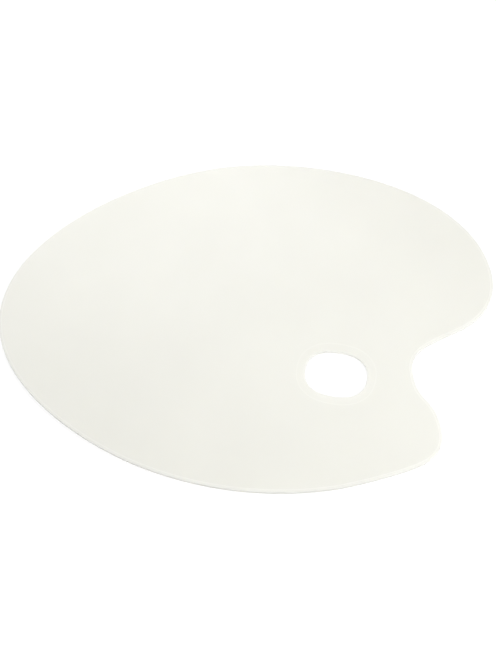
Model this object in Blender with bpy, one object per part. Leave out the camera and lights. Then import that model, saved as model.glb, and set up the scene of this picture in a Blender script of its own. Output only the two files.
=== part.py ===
"""Mixing palette: one moulded plastic board, lying flat.

The board is an egg-shaped oval with a bay for the fingers, a horn below the bay, a faintly
bevelled rim with a rounded edge, and a dished oval hole for the thumb. Metres, +Z up. The
origin is under the middle of the board, on the surface that it rests on. +X runs from the
narrow end to the broad end.
"""

import math

import bmesh
import bpy
from mathutils import Matrix, Vector
from mathutils.geometry import interpolate_bezier

MM = 0.001

# The board: 350 mm long, 260 mm wide
THICKNESS = 3.2 * MM
RIM_WIDTH = 2.6 * MM  # from the wall to the lip where the mixing face starts
BEVEL_DROP = 0.2 * MM  # fall of the faint bevel over that width
EDGE_ROUND = 0.5 * MM  # between the bevel and the wall
FOOT_ROUND = 0.4 * MM  # the small broken edge round the underside

# The thumb hole: an oval a little squarer than an ellipse, in a shallow dish
THUMB_CENTRE = Vector((51.8 * MM, -47.5 * MM))
THUMB_LENGTH = 42.8 * MM
THUMB_WIDTH = 33.6 * MM
THUMB_SQUARENESS = 2.4  # 2 is an ellipse
THUMB_TURN = math.radians(-19.0)
DISH_WIDTH = 6.5 * MM
DISH_DEPTH = 0.65 * MM

# The outline, going clockwise. Each corner point of the drawing is x, y, the heading of the
# curve there in degrees (0 along +X, 90 along +Y), and its reach before and after, in mm.
OUTLINE = (
    (-175, 21, 90, 47, 70),  # narrow end
    (-3, 130, 0, 67, 78),  # long back edge
    (175, 14, -90, 69, 31),  # broad end
    (138, -29, -164, 11, 29),  # shoulder of the finger bay
    (104, -58, -90, 16, 19),  # bottom of the bay
    (115, -98, -90, 23, 11),  # horn
    (102, -120, -152, 10, 12),  # under the horn
    (36, -130, 180, 13, 42),  # long front edge
    (-86, -97, 150, 44, 47),  # sweep back to the narrow end
)
OUTLINE_FACET = 6.0 * MM
SHORTEST_STRETCH = 8  # facets, at least, from one point of the outline to the next
THUMB_FACETS = 48
EDGE_FACETS = 3
DISH_FACETS = 3
ARC = 0.5523  # handle length, as a share of the reach, that makes a Bezier quarter a circle

PLASTIC_COLOUR = (0.87, 0.87, 0.81, 1.0)
PLASTIC_ROUGHNESS = 0.4
SMOOTH_ANGLE = math.radians(32.0)


def clear_scene():
    for thing in list(bpy.data.objects):
        bpy.data.objects.remove(thing)


def heading_vector(degrees):
    angle = math.radians(degrees)
    return Vector((math.cos(angle), math.sin(angle)))


def board_outline():
    """The outline as a closed list of points, through one Bezier curve for each stretch."""
    points = []
    for here, there in zip(OUTLINE, OUTLINE[1:] + OUTLINE[:1]):
        start = Vector(here[:2]) * MM
        end = Vector(there[:2]) * MM
        start_handle = start + heading_vector(here[2]) * here[4] * MM
        end_handle = end - heading_vector(there[2]) * there[3] * MM
        facets = max(SHORTEST_STRETCH, round((end - start).length / OUTLINE_FACET))
        stretch = interpolate_bezier(start, start_handle, end_handle, end, facets + 1)
        points += [point.to_2d() for point in stretch[:-1]]
    return points


def thumb_outline():
    """The thumb hole as a closed list of points, clockwise: a superellipse, turned."""
    turn = Matrix.Rotation(THUMB_TURN, 2)
    power = 2.0 / THUMB_SQUARENESS
    points = []
    for k in range(THUMB_FACETS):
        angle = -2.0 * math.pi * k / THUMB_FACETS
        along = math.cos(angle)
        across = math.sin(angle)
        x = math.copysign(abs(along) ** power, along) * THUMB_LENGTH / 2
        y = math.copysign(abs(across) ** power, across) * THUMB_WIDTH / 2
        points.append(THUMB_CENTRE + turn @ Vector((x, y)))
    return points


def grown(points, distance):
    """A clockwise outline moved outwards by a distance, or inwards by a negative one."""
    moved = []
    for before, here, after in zip(points[-1:] + points[:-1], points, points[1:] + points[:1]):
        run = (after - before).normalized()
        moved.append(here + Vector((-run.y, run.x)) * distance)
    return moved


def rim_section():
    """(outward distance, height) up the board's edge, from the underside to the mixing face."""
    corner = Vector((0.0, THICKNESS - BEVEL_DROP))
    lip = Vector((-RIM_WIDTH, THICKNESS))
    low = corner - Vector((0.0, EDGE_ROUND))
    high = corner + (lip - corner).normalized() * EDGE_ROUND
    low_handle = low.lerp(corner, ARC)
    high_handle = high.lerp(corner, ARC)
    edge = interpolate_bezier(low, low_handle, high_handle, high, EDGE_FACETS + 1)
    section = [(-FOOT_ROUND, 0.0), (0.0, FOOT_ROUND)]
    section += [(point.x, point.y) for point in edge]
    section.append((lip.x, lip.y))
    return section


def thumb_section():
    """(outward distance, height) up the thumb hole, from the underside to the dish's edge.

    The dish gets steeper towards the hole.
    """
    section = [(FOOT_ROUND, 0.0), (0.0, FOOT_ROUND)]
    for k in range(DISH_FACETS + 1):
        along = k / DISH_FACETS
        inwards = 1.0 - along
        fall = DISH_DEPTH * (inwards + inwards * inwards) / 2
        section.append((DISH_WIDTH * along, THICKNESS - fall))
    return section


def wall(mesh, outline, section):
    """Bridges the outline from height to height, and returns its lowest and highest edges."""
    loops = []
    for distance, height in section:
        ring = grown(outline, distance)
        loops.append([mesh.verts.new((point.x, point.y, height)) for point in ring])
    edge_loops = []
    for loop in loops:
        pairs = zip(loop, loop[1:] + loop[:1])
        edge_loops.append([mesh.edges.new(pair) for pair in pairs])
    for lower, upper in zip(edge_loops, edge_loops[1:]):
        bmesh.ops.bridge_loops(mesh, edges=lower + upper)
    return edge_loops[0], edge_loops[-1]


def plastic():
    material = bpy.data.materials.new("board_plastic")
    material.use_nodes = True
    shader = material.node_tree.nodes["Principled BSDF"]
    shader.inputs["Base Color"].default_value = PLASTIC_COLOUR
    shader.inputs["Roughness"].default_value = PLASTIC_ROUGHNESS
    shader.inputs["Metallic"].default_value = 0.0
    material.diffuse_color = PLASTIC_COLOUR
    return material


def palette_board():
    mesh = bmesh.new()
    rim_low, rim_high = wall(mesh, board_outline(), rim_section())
    thumb_low, thumb_high = wall(mesh, thumb_outline(), thumb_section())
    bmesh.ops.triangle_fill(mesh, use_beauty=True, edges=rim_high + thumb_high)
    bmesh.ops.triangle_fill(mesh, use_beauty=True, edges=rim_low + thumb_low)
    bmesh.ops.recalc_face_normals(mesh, faces=mesh.faces)
    data = bpy.data.meshes.new("palette_board")
    mesh.to_mesh(data)
    mesh.free()
    data.shade_smooth()
    data.set_sharp_from_angle(angle=SMOOTH_ANGLE)
    data.materials.append(plastic())
    board = bpy.data.objects.new("palette_board", data)
    bpy.context.collection.objects.link(board)
    return board


clear_scene()
palette_board()
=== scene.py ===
"""Looks of the mixing palette: one moulded board in satin, slightly milky warm-white plastic.

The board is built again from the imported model's measures and thickness, with a finer
surface. Then come its material, the floor, the light and the camera.
Metres, +Z up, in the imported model's frame.
"""

import math

import bmesh
import bpy
from mathutils import Matrix, Vector
from mathutils.geometry import interpolate_bezier

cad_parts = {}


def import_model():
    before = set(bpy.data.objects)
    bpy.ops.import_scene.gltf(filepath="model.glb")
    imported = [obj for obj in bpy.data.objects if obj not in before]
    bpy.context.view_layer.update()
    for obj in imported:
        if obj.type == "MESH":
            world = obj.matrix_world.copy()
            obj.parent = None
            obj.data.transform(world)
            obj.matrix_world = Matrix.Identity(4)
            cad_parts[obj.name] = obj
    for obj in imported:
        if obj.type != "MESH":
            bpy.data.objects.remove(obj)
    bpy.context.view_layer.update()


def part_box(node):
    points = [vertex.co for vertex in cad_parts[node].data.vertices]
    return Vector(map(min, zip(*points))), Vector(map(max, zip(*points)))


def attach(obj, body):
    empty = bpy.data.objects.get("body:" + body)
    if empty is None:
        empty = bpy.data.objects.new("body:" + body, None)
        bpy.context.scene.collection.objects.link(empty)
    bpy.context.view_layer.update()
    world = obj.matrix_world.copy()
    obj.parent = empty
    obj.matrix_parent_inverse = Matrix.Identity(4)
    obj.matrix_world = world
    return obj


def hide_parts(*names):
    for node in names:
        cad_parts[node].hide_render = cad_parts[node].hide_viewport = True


MM = 0.001
NODE = "palette_board"
WHITE = (1.0, 1.0, 1.0, 1.0)
BLACK = (0.0, 0.0, 0.0, 1.0)

# Board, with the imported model's measures
RIM_WIDTH = 2.6 * MM  # from the wall to the lip where the mixing face starts
BEVEL_DROP = 0.2 * MM  # fall of the faint bevel over that width
EDGE_ROUND = 0.5 * MM  # between the bevel and the wall
FOOT_ROUND = 0.4 * MM  # the small broken edge round the underside
THUMB_CENTRE = Vector((51.8 * MM, -47.5 * MM))
THUMB_LENGTH = 42.8 * MM
THUMB_WIDTH = 33.6 * MM
THUMB_SQUARENESS = 2.4  # 2 is an ellipse
THUMB_TURN = math.radians(-19.0)
DISH_WIDTH = 6.5 * MM
DISH_DEPTH = 0.65 * MM
OUTLINE = (  # x, y, heading in degrees, reach before, reach after; in mm, clockwise
    (-175, 21, 90, 47, 70),  # narrow end
    (-3, 130, 0, 67, 78),  # long back edge
    (175, 14, -90, 69, 31),  # broad end
    (138, -29, -164, 11, 29),  # shoulder of the finger bay
    (104, -58, -90, 16, 19),  # bottom of the bay
    (115, -98, -90, 23, 11),  # horn
    (102, -120, -152, 10, 12),  # under the horn
    (36, -130, 180, 13, 42),  # long front edge
    (-86, -97, 150, 44, 47),  # sweep back to the narrow end
)

# Fine surface
OUTLINE_FACET = 1.2 * MM
SHORTEST_STRETCH = 24  # facets, at least, from one point of the outline to the next
THUMB_FACETS = 288
FOOT_FACETS = 6
EDGE_FACETS = 12
LIP_FACETS = 4
DISH_FACETS = 10
FLAT_MARGIN = 0.4 * MM  # a flat band inside each rounded edge, so that the faces shade flat
LIP_ROUND = 0.12 * MM  # where the bevel and the dish meet the mixing face
THUMB_EDGE_ROUND = 0.6 * MM  # where the dish meets the thumb hole's wall
THUMB_EDGE_FACETS = 6
PARTING_HEIGHT = 1.1 * MM  # the faint step where the two halves of the mould met
PARTING_STEP = 0.05 * MM
SHARP_ANGLE = math.radians(40)
ARC = 0.5523  # handle length, as a share of the reach, that makes a Bezier quarter a circle

# Plastic: its body colour is clouded, between a darker and a lighter one. Each noise is a
# scale and a detail
BODY_DARK = (0.874, 0.87, 0.821, 1.0)
BODY_LIGHT = (0.886, 0.882, 0.833, 1.0)
CLOUD_NOISE = (14.0, 2.0)
CLOUD_RANGE = (0.35, 0.65)

# Painted glow: it is paler below the mixing face, where it thins. Painted highlight: a pale
# line along each lip. Drops are in mm
PAINTED_HIGHLIGHT_COLOUR = (1.0, 1.0, 0.95, 1.0)
THIN_PAINTED_GLOW = 0.05
THIN_DROPS = (0.0, 0.05)  # where that painted glow starts, and where it is whole
LIP_PAINTED_HIGHLIGHT = 0.45
LIP_START_DROPS = (0.004, 0.015)  # where the line starts, and where it is whole
LIP_END_DROPS = (0.02, 0.07)  # where the line starts to fade, and where it ends
RIM_LIP_DROP = 0.03  # how much lower the line is on the rim than on the dish
PAINTED_LIGHT_SIDE = (0.04, 0.1)  # y where the painted glow and highlight start to fade, and where none is left

# Painted shade: it is darker on the wall, and less so at the broad end
WALL_PAINTED_SHADE = 0.165
WALL_LEVELS = (0.1, 0.6)  # the normal's Z where it is whole, and where none is left
BROAD_END = (0.02, 0.08)  # x where it starts to lessen, and where the end's share is reached
BROAD_END_SHARE = 0.6

# The dish and the thumb hole have only a share of each
THIN_SHARE = 0.6
LIP_SHARE = 0.55
WALL_SHARE = 0.4
DISH_REACH = (0.035, 0.045)  # from the thumb hole's centre: up to there, and from there on

# Gloss, relief and depth
PATCH_NOISE = (45.0, 3.0)
PATCH_RANGE = (0.3, 0.7)
ROUGHNESS = (0.32, 0.4)
WAVE_NOISE = (22.0, 1.0)
WAVE_HEIGHT = 0.08 * MM
GRAIN_NOISE = (1800.0, 2.0)
GRAIN_HEIGHT = 0.006 * MM
PLASTIC_IOR = 1.49
MILKY_DEPTH = 2.0 * MM

# Floor: it glows, so that it looks white
FLOOR_SIZE = 30.0
FLOOR_GAP = 0.2 * MM
FLOOR_COLOUR = (0.5, 0.5, 0.5, 1.0)
FLOOR_ROUGHNESS = 0.9
OPEN_GLOW = (0.62, 1.0)  # beside the board, and farther out
OPEN_DISTANCES = (0.15, 0.6)  # from the floor's middle: up to there, and from there on
SHADED_GLOW = 0.58  # painted shade on the floor under the board, as seen through the thumb hole
SHADED_DISTANCES = (0.095, 0.115)  # where that shade starts to lift, and where it ends

# Light: name, place, size and power in watts. Each lamp faces the middle of the board
WORLD_STRENGTH = 0.36
BACKDROP_STRENGTH = 1.0  # what the camera sees past the floor
LAMPS = (
    ("key_right", (0.35, -0.35, 0.35), (0.3, 0.3), 1.037),
    ("side_right", (0.5, -0.1, 0.3), (0.3, 0.3), 0.281),
    ("panel_back", (-0.06, 0.46, 0.5), (0.5, 0.3), 1.521),
    ("fill_left", (-0.28, -0.28, 0.69), (0.4, 0.4), 1.345),
    ("top", (0.12, 0.3, 0.65), (0.3, 0.3), 0.26),
)

# Camera
CAMERA_AZIMUTH = math.radians(-8.6)
CAMERA_ELEVATION = math.radians(63.7)
CAMERA_DISTANCE = 1.05
CAMERA_AIM = Vector((-3.2 * MM, -5.2 * MM, 0.0))
CAMERA_RANGE = (0.05, 100.0)
PICTURE_HEIGHT = 0.4648  # metres across the long side of the picture, at the aim point
SENSOR = 36.0


def add_object(name, data):
    thing = bpy.data.objects.new(name, data)
    bpy.context.scene.collection.objects.link(thing)
    return thing


def aim(thing, direction):
    """Turns a lamp or a camera to look in a direction."""
    thing.rotation_mode = "QUATERNION"
    thing.rotation_quaternion = direction.to_track_quat("-Z", "Y")


def mesh_data(mesh, name):
    data = bpy.data.meshes.new(name)
    mesh.to_mesh(data)
    mesh.free()
    return data


def heading_vector(degrees):
    angle = math.radians(degrees)
    return Vector((math.cos(angle), math.sin(angle)))


def board_outline():
    """The outline as a closed list of points, through one Bezier curve for each stretch."""
    points = []
    for here, there in zip(OUTLINE, OUTLINE[1:] + OUTLINE[:1]):
        start = Vector(here[:2]) * MM
        end = Vector(there[:2]) * MM
        start_handle = start + heading_vector(here[2]) * here[4] * MM
        end_handle = end - heading_vector(there[2]) * there[3] * MM
        facets = max(SHORTEST_STRETCH, round((end - start).length / OUTLINE_FACET))
        stretch = interpolate_bezier(start, start_handle, end_handle, end, facets + 1)
        points += [point.to_2d() for point in stretch[:-1]]
    return points


def thumb_outline():
    """The thumb hole as a closed list of points, clockwise: a superellipse, turned."""
    turn = Matrix.Rotation(THUMB_TURN, 2)
    power = 2.0 / THUMB_SQUARENESS
    points = []
    for k in range(THUMB_FACETS):
        angle = -2.0 * math.pi * k / THUMB_FACETS
        along = math.cos(angle)
        across = math.sin(angle)
        x = math.copysign(abs(along) ** power, along) * THUMB_LENGTH / 2
        y = math.copysign(abs(across) ** power, across) * THUMB_WIDTH / 2
        points.append(THUMB_CENTRE + turn @ Vector((x, y)))
    return points


def grown(points, distance):
    """A clockwise outline moved outwards by a distance, or inwards by a negative one."""
    moved = []
    for before, here, after in zip(points[-1:] + points[:-1], points, points[1:] + points[:1]):
        run = (after - before).normalized()
        moved.append(here + Vector((-run.y, run.x)) * distance)
    return moved


def softened(corners):
    """The section through the corners, as points.

    A corner is a distance and a height, then a reach and a number of facets if it is rounded.
    """
    places = [Vector(corner[:2]) for corner in corners]
    section = []
    for k, (here, corner) in enumerate(zip(places, corners)):
        if len(corner) == 2:
            section.append(here)
            continue
        reach, facets = corner[2:]
        start = here + (places[k - 1] - here).normalized() * reach
        end = here + (places[k + 1] - here).normalized() * reach
        start_handle = start.lerp(here, ARC)
        end_handle = end.lerp(here, ARC)
        turn = interpolate_bezier(start, start_handle, end_handle, end, facets + 1)
        section += [point.to_2d() for point in turn]
    return section


def rim_section(thickness):
    """(outward distance, height) up the board's edge, from the underside to the mixing face."""
    return softened(
        (
            (-FOOT_ROUND - FLAT_MARGIN, 0.0),
            (0.0, 0.0, FOOT_ROUND, FOOT_FACETS),
            (0.0, PARTING_HEIGHT - PARTING_STEP),
            (-PARTING_STEP, PARTING_HEIGHT),
            (-PARTING_STEP, thickness - BEVEL_DROP, EDGE_ROUND, EDGE_FACETS),
            (-RIM_WIDTH, thickness, LIP_ROUND, LIP_FACETS),
            (-RIM_WIDTH - FLAT_MARGIN, thickness),
        )
    )


def thumb_section(thickness):
    """(outward distance, height) up the thumb hole, from the underside to past the dish.

    The dish gets steeper towards the hole.
    """
    corners = [
        (FOOT_ROUND + FLAT_MARGIN, 0.0),
        (0.0, 0.0, FOOT_ROUND, FOOT_FACETS),
        (0.0, thickness - DISH_DEPTH, THUMB_EDGE_ROUND, THUMB_EDGE_FACETS),
    ]
    for k in range(1, DISH_FACETS):
        along = k / DISH_FACETS
        inwards = 1.0 - along
        fall = DISH_DEPTH * (inwards + inwards * inwards) / 2
        corners.append((DISH_WIDTH * along, thickness - fall))
    corners.append((DISH_WIDTH, thickness, LIP_ROUND, LIP_FACETS))
    corners.append((DISH_WIDTH + FLAT_MARGIN, thickness))
    return softened(corners)


def edges_of(mesh, loop):
    edges = []
    for pair in zip(loop, loop[1:] + loop[:1]):
        edges.append(mesh.edges.get(pair) or mesh.edges.new(pair))
    return edges


def wall(mesh, outline, section):
    """Joins the outline from height to height, and returns its lowest and highest edges."""
    loops = []
    for distance, height in section:
        ring = grown(outline, distance)
        loops.append([mesh.verts.new((point.x, point.y, height)) for point in ring])
    count = len(outline)
    for lower, upper in zip(loops, loops[1:]):
        for k in range(count):
            after = (k + 1) % count
            mesh.faces.new((lower[k], lower[after], upper[after], upper[k]))
    return edges_of(mesh, loops[0]), edges_of(mesh, loops[-1])


def board(thickness):
    mesh = bmesh.new()
    rim_low, rim_high = wall(mesh, board_outline(), rim_section(thickness))
    thumb_low, thumb_high = wall(mesh, thumb_outline(), thumb_section(thickness))
    bmesh.ops.triangle_fill(mesh, use_beauty=True, edges=rim_high + thumb_high)
    bmesh.ops.triangle_fill(mesh, use_beauty=True, edges=rim_low + thumb_low)
    bmesh.ops.recalc_face_normals(mesh, faces=mesh.faces)
    data = mesh_data(mesh, "palette_moulding")
    data.shade_smooth()
    data.set_sharp_from_angle(angle=SHARP_ANGLE)
    return add_object("palette_moulding", data)


def new_material(name):
    """A material with its node tree and its main shader."""
    material = bpy.data.materials.new(name)
    material.use_nodes = True
    tree = material.node_tree
    return material, tree, tree.nodes["Principled BSDF"]


def noise(tree, place, scale_and_detail):
    node = tree.nodes.new("ShaderNodeTexNoise")
    node.inputs["Scale"].default_value, node.inputs["Detail"].default_value = scale_and_detail
    tree.links.new(place, node.inputs["Vector"])
    return node.outputs["Fac"]


def remap(tree, source, old, new, smooth=False):
    """The source's old range stretched to the new one, and held at its ends outside it."""
    node = tree.nodes.new("ShaderNodeMapRange")
    if smooth:
        node.interpolation_type = "SMOOTHSTEP"
    node.inputs["From Min"].default_value, node.inputs["From Max"].default_value = old
    node.inputs["To Min"].default_value, node.inputs["To Max"].default_value = new
    tree.links.new(source, node.inputs["Value"])
    return node.outputs["Result"]


def maths(tree, operation, *sources):
    node = tree.nodes.new("ShaderNodeMath")
    node.operation = operation
    for socket, source in zip(node.inputs, sources):
        if isinstance(source, float):
            socket.default_value = source
        else:
            tree.links.new(source, socket)
    return node.outputs["Value"]


def product(tree, first, *others):
    result = first
    for other in others:
        result = maths(tree, "MULTIPLY", result, other)
    return result


def blend(tree, factor, first, second):
    """A mix of two colours, each one a socket or a plain colour."""
    node = tree.nodes.new("ShaderNodeMix")
    node.data_type = "RGBA"
    sockets = [socket for socket in node.inputs if socket.type == "RGBA"]
    for socket, source in zip(sockets, (first, second)):
        if isinstance(source, tuple):
            socket.default_value = source
        else:
            tree.links.new(source, socket)
    tree.links.new(factor, node.inputs[0])
    return [socket for socket in node.outputs if socket.type == "RGBA"][0]


def x_y_z(tree, vector):
    node = tree.nodes.new("ShaderNodeSeparateXYZ")
    tree.links.new(vector, node.inputs["Vector"])
    return node.outputs["X"], node.outputs["Y"], node.outputs["Z"]


def distance_from(tree, centre, place):
    node = tree.nodes.new("ShaderNodeVectorMath")
    node.operation = "DISTANCE"
    node.inputs[1].default_value = centre
    tree.links.new(place, node.inputs[0])
    return node.outputs["Value"]


def painted_glow_and_highlight(tree, y, drop, away):
    """Painted glow and highlight: a little glow on the thin rim and in the dish, and a pale
    line along their lips, fading towards the back.
    """
    thin = remap(tree, drop, THIN_DROPS, (0.0, THIN_PAINTED_GLOW), True)
    thin_share = remap(tree, away, DISH_REACH, (THIN_SHARE, 1.0))
    lower = remap(tree, away, DISH_REACH, (0.0, RIM_LIP_DROP))
    lip_drop = maths(tree, "SUBTRACT", drop, lower)
    lip_start = remap(tree, lip_drop, LIP_START_DROPS, (0.0, 1.0), True)
    lip_end = remap(tree, lip_drop, LIP_END_DROPS, (1.0, 0.0), True)
    lip_share = remap(tree, away, DISH_REACH, (LIP_SHARE, 1.0))
    lip = product(tree, lip_start, lip_end, LIP_PAINTED_HIGHLIGHT, lip_share)
    painted_amount = maths(tree, "ADD", product(tree, thin, thin_share), lip)
    return product(tree, painted_amount, remap(tree, y, PAINTED_LIGHT_SIDE, (1.0, 0.0), True))


def painted_wall_shade(tree, x, normal, away):
    """Painted shade: darker on steep faces, and none where the plastic faces up or down."""
    level = maths(tree, "ABSOLUTE", x_y_z(tree, normal)[2])
    steep = remap(tree, level, WALL_LEVELS, (WALL_PAINTED_SHADE, 0.0), True)
    end_share = remap(tree, x, BROAD_END, (1.0, BROAD_END_SHARE), True)
    wall_share = remap(tree, away, DISH_REACH, (WALL_SHARE, 1.0))
    return product(tree, steep, end_share, wall_share)


def plastic_colour(tree, place, normal, thickness):
    x, y, z = x_y_z(tree, place)
    drop = product(tree, maths(tree, "SUBTRACT", thickness, z), 1.0 / MM)
    away = distance_from(tree, THUMB_CENTRE.to_3d(), place)
    clouds = remap(tree, noise(tree, place, CLOUD_NOISE), CLOUD_RANGE, (0.0, 1.0))
    body = blend(tree, clouds, BODY_DARK, BODY_LIGHT)
    # painted glow on the thin rim and dish, and painted highlight along the lips
    with_painted_light = blend(tree, painted_glow_and_highlight(tree, y, drop, away), body, PAINTED_HIGHLIGHT_COLOUR)
    # painted shade: the colour blended towards black on the wall
    return blend(tree, painted_wall_shade(tree, x, normal, away), with_painted_light, BLACK)


def bump(tree, source, height):
    node = tree.nodes.new("ShaderNodeBump")
    node.inputs["Distance"].default_value = height
    node.inputs["Strength"].default_value = 1.0
    tree.links.new(source, node.inputs["Height"])
    return node


def relief(tree, place):
    """A slow waviness of the moulding, and over it the fine grain of the mould."""
    waves = bump(tree, noise(tree, place, WAVE_NOISE), WAVE_HEIGHT)
    grain = bump(tree, noise(tree, place, GRAIN_NOISE), GRAIN_HEIGHT)
    tree.links.new(waves.outputs["Normal"], grain.inputs["Normal"])
    return grain.outputs["Normal"]


def plastic(thickness):
    material, tree, shader = new_material("satin_plastic")
    surface = tree.nodes.new("ShaderNodeTexCoord")
    place = surface.outputs["Object"]
    colour = plastic_colour(tree, place, surface.outputs["Normal"], thickness)
    tree.links.new(colour, shader.inputs["Base Color"])
    gloss = remap(tree, noise(tree, place, PATCH_NOISE), PATCH_RANGE, ROUGHNESS)
    tree.links.new(gloss, shader.inputs["Roughness"])
    tree.links.new(relief(tree, place), shader.inputs["Normal"])
    shader.inputs["IOR"].default_value = PLASTIC_IOR
    shader.inputs["Subsurface Weight"].default_value = 1.0
    shader.inputs["Subsurface Radius"].default_value = (1.0, 1.0, 1.0)
    shader.inputs["Subsurface Scale"].default_value = MILKY_DEPTH
    return material


def floor_material():
    material, tree, shader = new_material("white_sweep")
    shader.inputs["Base Color"].default_value = FLOOR_COLOUR
    shader.inputs["Roughness"].default_value = FLOOR_ROUGHNESS
    shader.inputs["Specular IOR Level"].default_value = 0.0
    shader.inputs["Emission Color"].default_value = WHITE
    place = tree.nodes.new("ShaderNodeTexCoord").outputs["Object"]
    out = distance_from(tree, (0.0, 0.0, 0.0), place)
    open_glow = remap(tree, out, OPEN_DISTANCES, OPEN_GLOW, True)
    # painted shade: the floor glows less under the board
    shade = remap(tree, out, SHADED_DISTANCES, (SHADED_GLOW - OPEN_GLOW[0], 0.0), True)
    glow = maths(tree, "ADD", open_glow, shade)
    tree.links.new(glow, shader.inputs["Emission Strength"])
    return material


def floor():
    mesh = bmesh.new()
    bmesh.ops.create_grid(mesh, x_segments=1, y_segments=1, size=FLOOR_SIZE / 2)
    data = mesh_data(mesh, "floor")
    data.materials.append(floor_material())
    ground = add_object("floor", data)
    ground.location.z = -FLOOR_GAP


def world():
    """A white world that lights softly, and is plain white where the camera sees it."""
    surroundings = bpy.data.worlds.new("studio")
    surroundings.use_nodes = True
    tree = surroundings.node_tree
    light = tree.nodes["Background"]
    backdrop = tree.nodes.new("ShaderNodeBackground")
    for node, strength in ((light, WORLD_STRENGTH), (backdrop, BACKDROP_STRENGTH)):
        node.inputs["Color"].default_value = WHITE
        node.inputs["Strength"].default_value = strength
    seen = tree.nodes.new("ShaderNodeMixShader")
    rays = tree.nodes.new("ShaderNodeLightPath")
    tree.links.new(rays.outputs["Is Camera Ray"], seen.inputs[0])
    tree.links.new(light.outputs["Background"], seen.inputs[1])
    tree.links.new(backdrop.outputs["Background"], seen.inputs[2])
    tree.links.new(seen.outputs["Shader"], tree.nodes["World Output"].inputs["Surface"])
    bpy.context.scene.world = surroundings


def area_light(name, place, size, power):
    data = bpy.data.lights.new(name, "AREA")
    data.shape = "RECTANGLE"
    data.size, data.size_y = size
    data.energy = power
    lamp = add_object(name, data)
    lamp.location = place
    aim(lamp, -lamp.location)


def camera():
    data = bpy.data.cameras.new("camera")
    data.sensor_width = SENSOR
    data.lens = SENSOR * CAMERA_DISTANCE / PICTURE_HEIGHT
    data.clip_start, data.clip_end = CAMERA_RANGE
    level = math.cos(CAMERA_ELEVATION)
    x = math.sin(CAMERA_AZIMUTH) * level
    y = -math.cos(CAMERA_AZIMUTH) * level
    back = Vector((x, y, math.sin(CAMERA_ELEVATION)))
    eye = add_object("camera", data)
    eye.location = CAMERA_AIM + back * CAMERA_DISTANCE
    aim(eye, -back)
    bpy.context.scene.camera = eye


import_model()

low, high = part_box(NODE)
moulding = board(high.z - low.z)
moulding.data.materials.append(plastic(high.z - low.z))
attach(moulding, "root")
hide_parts(NODE)

floor()
world()
for lamp in LAMPS:
    area_light(*lamp)
camera()
bpy.context.scene.view_settings.view_transform = "Standard"
